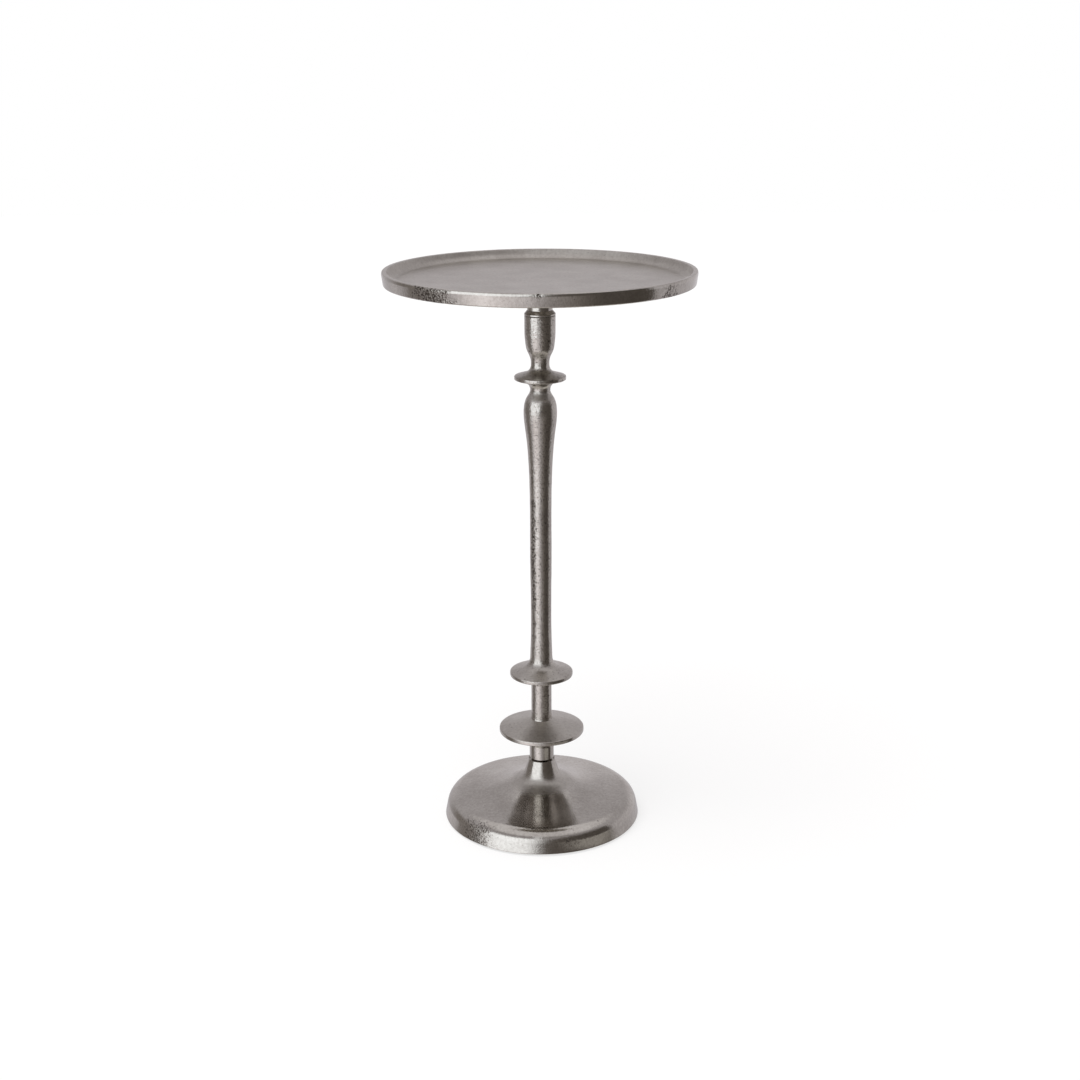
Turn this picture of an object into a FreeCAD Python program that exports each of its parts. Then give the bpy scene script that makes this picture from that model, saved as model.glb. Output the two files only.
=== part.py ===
import FreeCAD
import Part

import math
import os

# Wine table of sand-cast aluminium with a nickel finish: a round tray on a turned stem and a domed base.
# The stem is a stack of castings, drawn together by threaded steel studs and one nut under the base.
# Millimetres, +Z up, origin on the floor under the middle of the base.

# Overall height: the plain shaft of the column takes up what the other heights leave
TABLE_HEIGHT = 603.8

# Base: a domed casting, open underneath, that sweeps up to a conical boss for the stem
BASE_RADIUS = 107.0
BASE_HEIGHT = 63.5
RIM_HEIGHT = 22.6
RIM_LEAN = 4.4
RIM_SHOULDER_ROUND = 15.0
RIM_FOOT_ROUND = 0.6
RIM_LAND = 14.0
DOME_RISE = 6.6
SWEEP_RADIUS = 55.0
SWEEP_ROUND = 180.0
SWEEP_RISE = 11.0
CONE_FOOT_RADIUS = 21.0
CONE_FOOT_COVE = 14.0
CONE_LIP = 0.7
CONE_LIP_ROUND = 0.3
SOCKET_DEPTH = 2.0
SOCKET_GAP = 0.5
SHELL_WALL = 7.0
SHELL_CORNER = 8.0
NUT_SEAT_RADIUS = 30.0
NUT_SEAT_HEIGHT = 28.0

# Felt pads, stuck to the flat land under the base's rim
PAD_COUNT = 4
PAD_RADIUS = 4.2
PAD_MARGIN = 0.5
PAD_THICKNESS = 2.0
PAD_ROUND = 0.4

# Lower disc: a coned disc on a trumpet-shaped foot, clamped between the base and the column.
# The foot's narrower spigot sits in the boss and leaves a dark seam round its top
LOWER_DISC_RADIUS = 46.1
LOWER_DISC_EDGE = 4.6
LOWER_DISC_DROP = 9.2
LOWER_DISC_SEAT_MARGIN = 1.0
LOWER_DISC_UNDER_CONE = 5.7
LOWER_DISC_UNDER_COVE = 15.0
DISC_EDGE_ROUND = 1.2
FOOT_RADIUS = 13.3
FOOT_RISE = 47.0
FOOT_SPIGOT_RADIUS = 11.5
FOOT_SEAM = 1.5
FOOT_CHAMFER = 0.4

# Column: spool, middle disc, slim shaft and baluster in one casting, as a run of radii and rises
SPOOL_RADIUS = 11.1
SPOOL_LENGTH = 51.7
SPOOL_FOOT_GROW = 0.35
SPOOL_FOOT_HEIGHT = 3.0
MIDDLE_DISC_RADIUS = 34.1
MIDDLE_DISC_EDGE = 4.3
MIDDLE_DISC_UNDER_CONE = 4.0
MIDDLE_DISC_UNDER_COVE = 8.0
MIDDLE_DISC_TOP_CONE = 5.6
MIDDLE_DISC_TOP_COVE = 14.0
FLARE_FOOT_RADIUS = 12.7
FLARE_RADIUS = 12.0
FLARE_RISE = 20.5
WAIST_RADIUS = 11.05
WAIST_RISE = 43.5
SHAFT_RADIUS = 11.6
SHAFT_TOP_RADIUS = 11.8
SWELL_RADIUS = 13.0
SWELL_RISE = 31.0
FLANK_RADIUS = 15.1
FLANK_RISE = 24.7
BELLY_RADIUS = 17.5
BELLY_RISE = 25.5
SHOULDER_RADIUS = 14.4
SHOULDER_RISE = 14.6
NECK_RADIUS = 10.6
NECK_RISE = 7.2

# Finial: lower neck, upper disc, upper neck and cup in one casting, as a run of radii and rises
UPPER_DISC_HEIGHT = 12.0
UPPER_DISC_RADIUS = 26.9
UPPER_DISC_EDGE = 4.0
UPPER_DISC_UNDER_CONE = 4.2
UPPER_DISC_TOP_CONE = 5.2
UPPER_DISC_COVE = 8.5
UPPER_NECK_RADIUS = 9.65
UPPER_NECK_RISE = 13.5
CUP_WAIST_RADIUS = 11.3
CUP_WAIST_RISE = 7.5
CUP_FLANK_RADIUS = 14.0
CUP_FLANK_RISE = 6.2
CUP_HIP_RADIUS = 15.4
CUP_HIP_RISE = 7.8
CUP_RADIUS = 16.15
CUP_RISE = 15.7
CUP_STRAIGHT = 12.0
CUP_TOP_ROUND = 0.9

# Tray neck: a short turned neck with a chamfered foot as wide as the cup
TRAY_NECK_RADIUS = 13.0
TRAY_NECK_LENGTH = 21.8
TRAY_NECK_FOOT_HEIGHT = 1.8
TRAY_NECK_CHAMFER_HEIGHT = 3.6
TRAY_NECK_ROUND = 0.6

# Tray: a flat floor inside a raised rim, with a tapped boss underneath. The rim's outer wall leans out,
# and breaks to a narrow face that leans in below the lip
TRAY_RADIUS = 160.0
TRAY_HEIGHT = 14.1
TRAY_FLOOR = 4.8
TRAY_WALL_LEAN = 1.6
TRAY_WALL_FOOT_ROUND = 1.8
TRAY_LIP = 5.2
TRAY_LIP_FACE = 2.6
TRAY_LIP_LEAN = 0.6
TRAY_LIP_BREAK_ROUND = 4.0
TRAY_LIP_ROUND = 1.2
TRAY_INNER_LEAN = 4.5
TRAY_FLOOR_COVE = 9.0
TRAY_EDGE_ROUND = 0.9
TRAY_BOSS_RADIUS = 22.0
TRAY_BOSS_HEIGHT = 10.7
TRAY_BOSS_DRAFT = 3.0
TRAY_BOSS_FILLET = 4.0
TRAY_TAP_SKIN = 3.3

# Threaded steel: large studs at the tray and base, a small one at the neck, and the nut with its washers
LARGE_THREAD = 10.0
SMALL_THREAD = 8.0
THREAD_GAP = 0.1
HOLE_GAP = 0.5
END_GAP = 1.0
STUD_CHAMFER = 1.0
STUD_PROJECTION = 3.0
CUP_TAP = 22.0
NECK_TAP = 17.0
COLUMN_TAP = 24.0
NUT_FLATS = 16.0
NUT_HEIGHT = 8.0
WASHER_RADIUS = 15.0
WASHER_THICKNESS = 2.5
SPRING_WASHER_RADIUS = 9.0
SPRING_WASHER_THICKNESS = 2.2
SPRING_WASHER_SLOT = 1.2
SPRING_WASHER_SLOT_TURN = 20.0

# Heights from the floor up to the shaft's waist
base_bottom = PAD_THICKNESS
nut_seat = base_bottom + NUT_SEAT_HEIGHT
spring_seat = nut_seat - WASHER_THICKNESS
nut_top = spring_seat - SPRING_WASHER_THICKNESS
nut_bottom = nut_top - NUT_HEIGHT
cone_top = base_bottom + BASE_HEIGHT
foot_bottom = cone_top - SOCKET_DEPTH
column_bottom = cone_top + FOOT_RISE
middle_disc_bottom = column_bottom + SPOOL_LENGTH
middle_disc_top = middle_disc_bottom + MIDDLE_DISC_EDGE
flare_top = middle_disc_top + FLARE_RISE
waist = flare_top + WAIST_RISE

# Heights from the tray's rim down to the shaft's top
tray_top = TABLE_HEIGHT
tray_bottom = tray_top - TRAY_HEIGHT
tray_floor = tray_bottom + TRAY_FLOOR
boss_bottom = tray_bottom - TRAY_BOSS_HEIGHT
finial_top = boss_bottom - TRAY_NECK_LENGTH
cup_straight = finial_top - CUP_STRAIGHT
cup_hip = cup_straight - CUP_RISE
cup_flank = cup_hip - CUP_HIP_RISE
cup_waist = cup_flank - CUP_FLANK_RISE
upper_neck = cup_waist - CUP_WAIST_RISE
upper_disc_top = upper_neck - UPPER_NECK_RISE
upper_disc_bottom = upper_disc_top - UPPER_DISC_EDGE
column_top = upper_disc_bottom - UPPER_DISC_HEIGHT
shoulder = column_top - NECK_RISE
belly = shoulder - SHOULDER_RISE
flank = belly - BELLY_RISE
swell = flank - FLANK_RISE
shaft_top = swell - SWELL_RISE
shaft_middle = (waist + shaft_top) / 2

# Depths of the blind tapped holes, and radii of the studs and of the holes for them
tray_hole_end = tray_floor - TRAY_TAP_SKIN
cup_hole_end = finial_top - CUP_TAP - END_GAP
neck_hole_low = column_top - NECK_TAP - END_GAP
neck_hole_high = column_top + NECK_TAP + END_GAP
column_hole_end = column_bottom + COLUMN_TAP + END_GAP
large_stud = LARGE_THREAD / 2
small_stud = SMALL_THREAD / 2
large_tap = large_stud + THREAD_GAP
small_tap = small_stud + THREAD_GAP
large_hole = large_stud + HOLE_GAP

ORIGIN = FreeCAD.Vector(0, 0, 0)
AXIS = FreeCAD.Vector(0, 0, 1)


def at(radius, height):
    """A point of a profile, by its distance from the axis and its height."""
    return FreeCAD.Vector(radius, 0, height)


def rounded(*corners):
    """Edges of an open run of lines. A corner is (radius, height) or (radius, height, rounding)."""
    points = [at(*corner[:2]) for corner in corners]
    edges = []
    start = points[0]
    for i in range(1, len(points) - 1):
        corner = points[i]
        if len(corners[i]) == 2:
            edges.append(Part.LineSegment(start, corner).toShape())
            start = corner
            continue
        rounding = corners[i][2]
        back = (points[i - 1] - corner).normalize()
        ahead = (points[i + 1] - corner).normalize()
        inwards = (back + ahead).normalize()
        half_angle = back.getAngle(ahead) / 2
        reach = rounding / math.tan(half_angle)
        depth = rounding / math.sin(half_angle) - rounding
        leave = corner + back * reach
        join = corner + ahead * reach
        edges.append(Part.LineSegment(start, leave).toShape())
        edges.append(Part.Arc(leave, corner + inwards * depth, join).toShape())
        start = join
    edges.append(Part.LineSegment(start, points[-1]).toShape())
    return edges


def smooth(points, first, last):
    """One smooth curve through (radius, height) points, leaving along first and arriving along last."""
    curve = Part.BSplineCurve()
    curve.interpolate(
        Points=[at(*point) for point in points],
        InitialTangent=at(*first),
        FinalTangent=at(*last),
    )
    return [curve.toShape()]


def turned(edges):
    """The solid swept by a closed profile about the axis."""
    profile = Part.Face(Part.Wire(edges))
    return profile.revolve(ORIGIN, AXIS, 360)


def ring(bore, radius, bottom, top):
    return turned(rounded(
        (bore, bottom),
        (radius, bottom),
        (radius, top),
        (bore, top),
        (bore, bottom),
    ))


def stud(radius, bottom, top):
    """A threaded stud with chamfered ends, at its outer thread diameter."""
    return turned(rounded(
        (0, bottom),
        (radius - STUD_CHAMFER, bottom),
        (radius, bottom + STUD_CHAMFER),
        (radius, top - STUD_CHAMFER),
        (radius - STUD_CHAMFER, top),
        (0, top),
        (0, bottom),
    ))


def base():
    rim_top = base_bottom + RIM_HEIGHT
    dome_top = rim_top + DOME_RISE
    inner = BASE_RADIUS - RIM_LAND
    socket = FOOT_RADIUS + SOCKET_GAP
    return turned(rounded(
        (large_hole, nut_seat),
        (NUT_SEAT_RADIUS, nut_seat),
        (inner, rim_top - SHELL_WALL, SHELL_CORNER),
        (inner, base_bottom),
        (BASE_RADIUS, base_bottom, RIM_FOOT_ROUND),
        (BASE_RADIUS - RIM_LEAN, rim_top, RIM_SHOULDER_ROUND),
        (SWEEP_RADIUS, dome_top, SWEEP_ROUND),
        (CONE_FOOT_RADIUS, dome_top + SWEEP_RISE, CONE_FOOT_COVE),
        (socket + CONE_LIP, cone_top, CONE_LIP_ROUND),
        (socket, cone_top),
        (socket, foot_bottom),
        (large_hole, foot_bottom),
        (large_hole, nut_seat),
    ))


def floor_pad(index):
    """One round felt pad, near the inner edge of the land under the base's rim."""
    reach = BASE_RADIUS - RIM_LAND + PAD_MARGIN + PAD_RADIUS
    turn = math.radians(360 / PAD_COUNT * (index + 0.5))
    pad = turned(rounded(
        (0, 0),
        (PAD_RADIUS, 0, PAD_ROUND),
        (PAD_RADIUS, PAD_THICKNESS),
        (0, PAD_THICKNESS),
        (0, 0),
    ))
    pad.translate(FreeCAD.Vector(reach * math.cos(turn), reach * math.sin(turn), 0))
    return pad


def lower_disc():
    seam_top = cone_top + FOOT_SEAM
    edge_top = column_bottom - LOWER_DISC_DROP
    edge_bottom = edge_top - LOWER_DISC_EDGE
    return turned(rounded(
        (large_hole, foot_bottom),
        (FOOT_SPIGOT_RADIUS, foot_bottom),
        (FOOT_SPIGOT_RADIUS, seam_top),
        (FOOT_RADIUS - FOOT_CHAMFER, seam_top),
        (FOOT_RADIUS, seam_top + FOOT_CHAMFER),
        (FOOT_RADIUS, edge_bottom - LOWER_DISC_UNDER_CONE, LOWER_DISC_UNDER_COVE),
        (LOWER_DISC_RADIUS, edge_bottom, DISC_EDGE_ROUND),
        (LOWER_DISC_RADIUS, edge_top, DISC_EDGE_ROUND),
        (SPOOL_RADIUS + SPOOL_FOOT_GROW + LOWER_DISC_SEAT_MARGIN, column_bottom),
        (large_hole, column_bottom),
        (large_hole, foot_bottom),
    ))


def stem_column():
    lower = rounded(
        (0, column_hole_end),
        (large_tap, column_hole_end),
        (large_tap, column_bottom),
        (SPOOL_RADIUS + SPOOL_FOOT_GROW, column_bottom),
        (SPOOL_RADIUS, column_bottom + SPOOL_FOOT_HEIGHT),
        (SPOOL_RADIUS, middle_disc_bottom - MIDDLE_DISC_UNDER_CONE, MIDDLE_DISC_UNDER_COVE),
        (MIDDLE_DISC_RADIUS, middle_disc_bottom, DISC_EDGE_ROUND),
        (MIDDLE_DISC_RADIUS, middle_disc_top, DISC_EDGE_ROUND),
        (FLARE_FOOT_RADIUS, middle_disc_top + MIDDLE_DISC_TOP_CONE, MIDDLE_DISC_TOP_COVE),
        (FLARE_RADIUS, flare_top),
    )
    baluster = smooth(
        [
            (FLARE_RADIUS, flare_top),
            (WAIST_RADIUS, waist),
            (SHAFT_RADIUS, shaft_middle),
            (SHAFT_TOP_RADIUS, shaft_top),
            (SWELL_RADIUS, swell),
            (FLANK_RADIUS, flank),
            (BELLY_RADIUS, belly),
            (SHOULDER_RADIUS, shoulder),
            (NECK_RADIUS, column_top),
        ],
        first=(FLARE_RADIUS - FLARE_FOOT_RADIUS, FLARE_RISE - MIDDLE_DISC_TOP_CONE),
        last=(NECK_RADIUS - SHOULDER_RADIUS, 2 * NECK_RISE),
    )
    upper = rounded(
        (NECK_RADIUS, column_top),
        (small_tap, column_top),
        (small_tap, neck_hole_low),
        (0, neck_hole_low),
        (0, column_hole_end),
    )
    return turned(lower + baluster + upper)


def stem_finial():
    lower = rounded(
        (0, neck_hole_high),
        (small_tap, neck_hole_high),
        (small_tap, column_top),
        (NECK_RADIUS, column_top),
        (NECK_RADIUS, upper_disc_bottom - UPPER_DISC_UNDER_CONE, UPPER_DISC_COVE),
        (UPPER_DISC_RADIUS, upper_disc_bottom, DISC_EDGE_ROUND),
        (UPPER_DISC_RADIUS, upper_disc_top, DISC_EDGE_ROUND),
        (UPPER_NECK_RADIUS, upper_disc_top + UPPER_DISC_TOP_CONE, UPPER_DISC_COVE),
        (UPPER_NECK_RADIUS, upper_neck),
    )
    cup = smooth(
        [
            (UPPER_NECK_RADIUS, upper_neck),
            (CUP_WAIST_RADIUS, cup_waist),
            (CUP_FLANK_RADIUS, cup_flank),
            (CUP_HIP_RADIUS, cup_hip),
            (CUP_RADIUS, cup_straight),
        ],
        first=(0, 1),
        last=(0, 1),
    )
    upper = rounded(
        (CUP_RADIUS, cup_straight),
        (CUP_RADIUS, finial_top, CUP_TOP_ROUND),
        (large_tap, finial_top),
        (large_tap, cup_hole_end),
        (0, cup_hole_end),
        (0, neck_hole_high),
    )
    return turned(lower + cup + upper)


def tray_neck():
    chamfer_bottom = finial_top + TRAY_NECK_FOOT_HEIGHT
    chamfer_top = chamfer_bottom + TRAY_NECK_CHAMFER_HEIGHT
    return turned(rounded(
        (large_hole, finial_top),
        (CUP_RADIUS, finial_top, TRAY_NECK_ROUND),
        (CUP_RADIUS, chamfer_bottom, TRAY_NECK_ROUND),
        (TRAY_NECK_RADIUS, chamfer_top, TRAY_NECK_ROUND),
        (TRAY_NECK_RADIUS, boss_bottom),
        (large_hole, boss_bottom),
        (large_hole, finial_top),
    ))


def tray():
    lip = TRAY_RADIUS - TRAY_LIP
    return turned(rounded(
        (0, tray_floor),
        (lip - TRAY_INNER_LEAN, tray_floor, TRAY_FLOOR_COVE),
        (lip, tray_top, TRAY_EDGE_ROUND),
        (TRAY_RADIUS - TRAY_LIP_LEAN, tray_top, TRAY_LIP_ROUND),
        (TRAY_RADIUS, tray_top - TRAY_LIP_FACE, TRAY_LIP_BREAK_ROUND),
        (TRAY_RADIUS - TRAY_WALL_LEAN, tray_bottom, TRAY_WALL_FOOT_ROUND),
        (TRAY_BOSS_RADIUS + TRAY_BOSS_DRAFT, tray_bottom, TRAY_BOSS_FILLET),
        (TRAY_BOSS_RADIUS, boss_bottom, TRAY_EDGE_ROUND),
        (large_tap, boss_bottom),
        (large_tap, tray_hole_end),
        (0, tray_hole_end),
        (0, tray_floor),
    ))


def spring_washer():
    """A split ring, cut through by a slanting slot."""
    slot = Part.makeBox(
        SPRING_WASHER_RADIUS + SPRING_WASHER_SLOT,
        SPRING_WASHER_SLOT,
        4 * SPRING_WASHER_THICKNESS,
    )
    slot.translate(FreeCAD.Vector(0, -SPRING_WASHER_SLOT / 2, -2 * SPRING_WASHER_THICKNESS))
    slot.rotate(ORIGIN, FreeCAD.Vector(1, 0, 0), SPRING_WASHER_SLOT_TURN)
    slot.translate(FreeCAD.Vector(0, 0, (nut_top + spring_seat) / 2))
    return ring(large_tap, SPRING_WASHER_RADIUS, nut_top, spring_seat).cut(slot)


def base_nut():
    """A hexagon nut, its corners turned back to a cone at both faces."""
    flat = NUT_FLATS / 2
    corner = NUT_FLATS / math.sqrt(3)
    slope = (corner - flat) / math.sqrt(3)
    turns = [math.radians(60 * i) for i in range(7)]
    outline = [FreeCAD.Vector(corner * math.cos(t), corner * math.sin(t), nut_bottom) for t in turns]
    hexagon = Part.Face(Part.makePolygon(outline)).extrude(AXIS * NUT_HEIGHT)
    envelope = turned(rounded(
        (large_tap, nut_bottom),
        (flat, nut_bottom),
        (corner, nut_bottom + slope),
        (corner, nut_top - slope),
        (flat, nut_top),
        (large_tap, nut_top),
        (large_tap, nut_bottom),
    ))
    return hexagon.common(envelope)


parts = {
    "tray": tray(),
    "tray_neck": tray_neck(),
    "stem_finial": stem_finial(),
    "stem_column": stem_column(),
    "lower_disc": lower_disc(),
    "base": base(),
    "tray_stud": stud(large_stud, finial_top - CUP_TAP, tray_hole_end - END_GAP),
    "neck_stud": stud(small_stud, column_top - NECK_TAP, column_top + NECK_TAP),
    "base_stud": stud(large_stud, nut_bottom - STUD_PROJECTION, column_bottom + COLUMN_TAP),
    "base_washer": ring(large_hole, WASHER_RADIUS, spring_seat, nut_seat),
    "spring_washer": spring_washer(),
    "base_nut": base_nut(),
}
for index in range(PAD_COUNT):
    parts[f"floor_pad_{index + 1}"] = floor_pad(index)

os.makedirs("parts", exist_ok=True)
for name, shape in parts.items():
    shape.exportStep(f"parts/{name}.step")
    print(f"{name}: valid {shape.isValid()}, volume {shape.Volume / 1000:.1f} cm3")
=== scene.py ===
import math

import bmesh
import bpy
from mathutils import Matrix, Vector


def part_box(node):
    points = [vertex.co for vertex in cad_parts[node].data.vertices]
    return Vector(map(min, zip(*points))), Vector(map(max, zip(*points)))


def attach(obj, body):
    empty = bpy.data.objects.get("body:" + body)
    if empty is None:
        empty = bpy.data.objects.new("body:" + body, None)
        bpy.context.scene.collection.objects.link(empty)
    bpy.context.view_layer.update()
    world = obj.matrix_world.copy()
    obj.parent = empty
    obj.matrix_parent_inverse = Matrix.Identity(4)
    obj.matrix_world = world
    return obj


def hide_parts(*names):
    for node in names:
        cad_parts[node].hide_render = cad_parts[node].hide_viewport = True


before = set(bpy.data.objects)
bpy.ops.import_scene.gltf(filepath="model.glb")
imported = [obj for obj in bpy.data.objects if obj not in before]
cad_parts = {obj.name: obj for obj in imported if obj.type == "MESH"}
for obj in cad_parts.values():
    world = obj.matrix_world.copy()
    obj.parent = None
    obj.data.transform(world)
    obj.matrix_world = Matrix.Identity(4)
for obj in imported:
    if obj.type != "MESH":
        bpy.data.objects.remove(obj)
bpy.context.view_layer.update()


# Base. The domed foot is a hollow sand casting in aluminium, turned true, plated with raw nickel and polished
# by hand. Its conical boss takes the stem. Skin left by the sand shows on the rim where the wheel missed it.
MM = 0.001
WELD = 0.001 * MM


def linear(colour):
    """Scene-linear red, green, blue and alpha of an sRGB hex colour."""
    parts = [int(colour[i:i + 2], 16) / 255 for i in (1, 3, 5)]
    return [c / 12.92 if c <= 0.04045 else ((c + 0.055) / 1.055) ** 2.4 for c in parts] + [1.0]


def add(tree, kind, feeds=None, **settings):
    """Adds a node. settings are its own properties, and feeds gives its inputs, by name or number, a value, a
    node, of which the first output is used, or another output of a node."""
    node = tree.nodes.new(kind)
    for name, value in settings.items():
        setattr(node, name, value)
    for key, value in (feeds or {}).items():
        if isinstance(value, bpy.types.Node):
            value = value.outputs[0]
        if isinstance(value, bpy.types.NodeSocket):
            tree.links.new(value, node.inputs[key])
        else:
            node.inputs[key].default_value = value
    return node


def start_tree(name, sizes, result):
    """A Geometry Nodes tree with named inputs and one result, and each input's identifier by its label."""
    tree = bpy.data.node_groups.new(name, "GeometryNodeTree")
    identifiers = {}
    for label, kind, value in sizes:
        socket = tree.interface.new_socket(label, in_out="INPUT", socket_type=f"NodeSocket{kind}")
        if value is not None:
            socket.default_value = value
        identifiers[label] = socket.identifier
    tree.interface.new_socket(result, in_out="OUTPUT", socket_type="NodeSocketGeometry")
    return tree, identifiers


def make_piece(name, points, tree, identifiers, sizes):
    """A piece that a tree makes from loose points, as a plain mesh of its own with sharp edges kept."""
    sharp_edge = math.radians(50)
    start = bpy.data.meshes.new(name)
    start.from_pydata(points, [], [])
    piece = bpy.data.objects.new(name, start)
    bpy.context.scene.collection.objects.link(piece)
    work = piece.modifiers.new(tree.name, "NODES")
    work.node_group = tree
    for label, value in sizes.items():
        work[identifiers[label]] = value
    graph = bpy.context.evaluated_depsgraph_get()
    made = piece.evaluated_get(graph)
    shape = bpy.data.meshes.new_from_object(made, preserve_all_data_layers=True, depsgraph=graph)
    piece.modifiers.clear()
    piece.data = shape
    shape.name = piece.name
    shape.set_sharp_from_angle(angle=sharp_edge)
    return piece


def half_section(node):
    """Outline of a turned CAD node in its +X half plane, walked with the metal on the left."""
    cut = bmesh.new()
    cut.from_mesh(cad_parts[node].data)
    bmesh.ops.remove_doubles(cut, verts=cut.verts, dist=WELD)
    whole = cut.verts[:] + cut.edges[:] + cut.faces[:]
    found = bmesh.ops.bisect_plane(cut, geom=whole, plane_no=(0, 1, 0), dist=WELD / 10)["geom_cut"]
    beside = {}
    for edge in found:
        if isinstance(edge, bmesh.types.BMEdge) and min(v.co.x for v in edge.verts) > -WELD:
            first, second = edge.verts
            beside.setdefault(first, []).append(second)
            beside.setdefault(second, []).append(first)
    ends = [v for v in beside if len(beside[v]) == 1]
    walk = [ends[0] if ends else min(beside, key=lambda v: (round(v.co.x, 6), v.co.z))]
    seen = set(walk)
    onward = beside[walk[0]]
    while onward:
        walk.append(onward[0])
        seen.add(onward[0])
        onward = [v for v in beside[walk[-1]] if v not in seen]
    outline = [Vector((v.co.x, 0, v.co.z)) for v in walk]
    cut.free()
    if ends:
        outline = [Vector((0, 0, outline[0].z))] + outline + [Vector((0, 0, outline[-1].z))]
    else:
        outline.append(outline[0].copy())
    area = sum(a.x * b.z - b.x * a.z for a, b in zip(outline, outline[1:]))
    return outline if area > 0 else outline[::-1]


def lathe_rows(outline, step):
    """Points along an outline: one every step on its curves, and a few on each straight run, crowded to its
    ends. Curves run on smoothly between the outline's points, and corners stay."""
    corner = math.radians(25)
    least_bend = math.radians(0.15)
    straight_bend = math.radians(0.1)
    straight_rows = 14
    too_few_to_crowd = 3
    uneven = 3
    kept = outline[:1]
    for here, after in zip(outline[1:], outline[2:]):
        steps = here - kept[-1], after - here
        if min(run.length for run in steps) > WELD and steps[0].angle(steps[1]) > least_bend:
            kept.append(here)
    kept.append(outline[-1])
    runs = [b - a for a, b in zip(kept, kept[1:])]
    leave = [run.normalized() for run in runs]
    arrive = [run.normalized() for run in runs]
    for i, (before, after) in enumerate(zip(runs, runs[1:])):
        if before.angle(after) > corner:
            continue
        if max(before.length, after.length) > uneven * min(before.length, after.length):
            tangent = max(before, after, key=lambda run: run.length).normalized()
        else:
            tangent = (before.normalized() * after.length + after.normalized() * before.length).normalized()
        arrive[i] = leave[i + 1] = tangent
    rows = kept[:1]
    for start, end, run, out, into in zip(kept, kept[1:], runs, leave, arrive):
        count = math.ceil(run.length / step)
        straight = max(run.angle(out), run.angle(into)) < straight_bend
        if straight:
            count = min(count, straight_rows)
        for k in range(1, count + 1):
            t = k / count
            if straight and count > too_few_to_crowd:
                t = (1 - math.cos(math.pi * t)) / 2
            rows.append((2 * t**3 - 3 * t**2 + 1) * start + (t**3 - 2 * t**2 + t) * run.length * out
                        + (3 * t**2 - 2 * t**3) * end + (t**3 - t**2) * run.length * into)
    return rows


# The lathe turns a half section round the axis, then works the surface inwards only, so a casting never
# outgrows its CAD solid: long waves from the polishing wheel, blowholes, and sandy cast skin in patches and
# underneath. A casting's inside, its upper faces and the ring round the base's boss are polished less.
lathe, lathe_inputs = start_tree("Turned casting", (
    ("Half section", "Geometry", None),
    ("Segments", "Int", 256),
    ("Seed", "Int", 1),
    ("Bore", "Float", 5.6 * MM),
    ("Wave length", "Float", 45 * MM),
    ("Wave depth", "Float", 0.12 * MM),
    ("Pit spacing", "Float", 5 * MM),
    ("Pit size", "Float", 1.5 * MM),
    ("Pit depth", "Float", 0.25 * MM),
    ("Pit share", "Float", 0.2),
    ("Skin grain", "Float", 2.2 * MM),
    ("Skin depth", "Float", 0.3 * MM),
    ("Skin everywhere", "Float", 0.1),
    ("Dulling", "Float", 0.0),
    ("Satin", "Float", 0.0),
    ("Unbuffed radius", "Float", WELD),
    ("Patch strength", "Float", 1.0),
    ("Patch stretch", "Float", 1.0),
    ("Patch 1", "Vector", None),
    ("Patch 1 reach", "Float", WELD),
    ("Patch 2", "Vector", None),
    ("Patch 2 reach", "Float", WELD),
    ("Patch 3", "Vector", None),
    ("Patch 3 reach", "Float", WELD),
    ("Metal", "Material", None)), "Casting")
# Half section turned into a skin.
given = add(lathe, "NodeGroupInput").outputs
place = add(lathe, "GeometryNodeInputPosition")
facing = add(lathe, "GeometryNodeInputNormal")
section_size = add(lathe, "GeometryNodeAttributeDomainSize", {"Geometry": given["Half section"]}).outputs
rows = section_size["Point Count"]
columns = add(lathe, "FunctionNodeIntegerMath", {0: given["Segments"], 1: 1}, operation="ADD")
sheet = add(lathe, "GeometryNodeMeshGrid", {"Vertices X": columns, "Vertices Y": rows})
corner_number = add(lathe, "GeometryNodeInputIndex")
row = add(lathe, "FunctionNodeIntegerMath", {0: corner_number, 1: rows}, operation="MODULO")
column = add(lathe, "FunctionNodeIntegerMath", {0: corner_number, 1: rows}, operation="DIVIDE_FLOOR")
turn = add(lathe, "ShaderNodeMath", {0: column, 1: given["Segments"]}, operation="DIVIDE")
turn = add(lathe, "ShaderNodeMath", {0: turn, 1: 2 * math.pi}, operation="MULTIPLY")
section_point = add(lathe, "GeometryNodeSampleIndex",
                    {"Geometry": given["Half section"], "Value": place, "Index": row},
                    data_type="FLOAT_VECTOR")
turned_point = add(lathe, "ShaderNodeVectorRotate", {"Vector": section_point, "Angle": turn},
                   rotation_type="Z_AXIS")
body = add(lathe, "GeometryNodeSetPosition", {"Geometry": sheet, "Position": turned_point})
body = add(lathe, "GeometryNodeMergeByDistance", {"Geometry": body, "Distance": WELD})

# Waves left by the wheel.
shift = add(lathe, "ShaderNodeCombineXYZ", {"X": given["Seed"], "Y": given["Seed"]})
seeded = add(lathe, "ShaderNodeVectorMath", {0: place, 1: shift}, operation="ADD")
wave_scale = add(lathe, "ShaderNodeMath", {0: 1.0, 1: given["Wave length"]}, operation="DIVIDE")
wave = add(lathe, "ShaderNodeTexNoise", {"Vector": seeded, "Scale": wave_scale, "Detail": 2.0})
wave = add(lathe, "ShaderNodeMapRange", {"Value": wave, "From Min": 0.25, "From Max": 0.75})
wave = add(lathe, "ShaderNodeMath", {0: wave, 1: given["Wave depth"]}, operation="MULTIPLY")

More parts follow.
